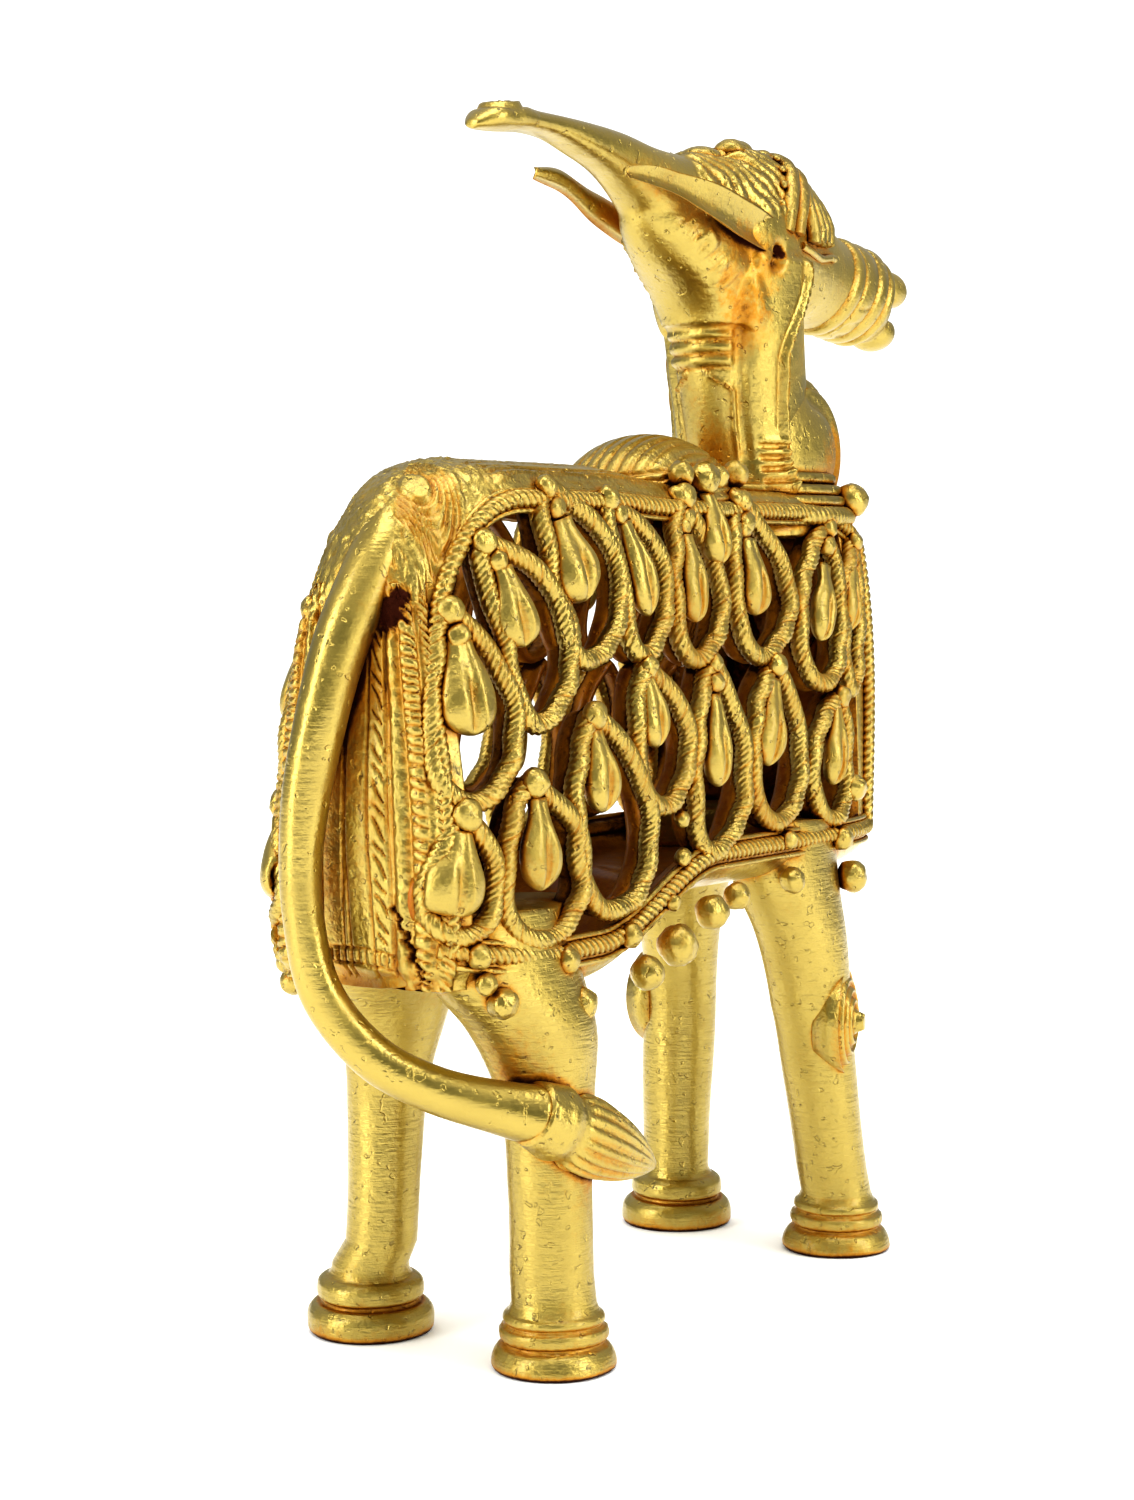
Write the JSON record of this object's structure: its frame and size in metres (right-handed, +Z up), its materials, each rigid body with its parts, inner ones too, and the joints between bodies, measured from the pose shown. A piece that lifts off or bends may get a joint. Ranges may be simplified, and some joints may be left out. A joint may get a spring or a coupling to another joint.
{
  "type": "nandi statue",
  "caption": "Small cast brass bull statue standing on four ringed feet, with an openwork drum body of rope loops and leaf drops, a tall neck and one swept-back horn bar.",
  "frame": {"origin": "middle of the footprint's bounding box, on the plane the four soles stand on", "axes": "+Z up and the longest extent, +X the way the bull faces, +Y its left side"},
  "size_m": [0.1986, 0.0638, 0.222],
  "materials": {
    "brass": "polished old brass on the high surfaces, brown patina in the grooves and inside the hollow body"
  },
  "bodies": {
    "root": {"nandi": "brass"}
  },
  "joints": []
}
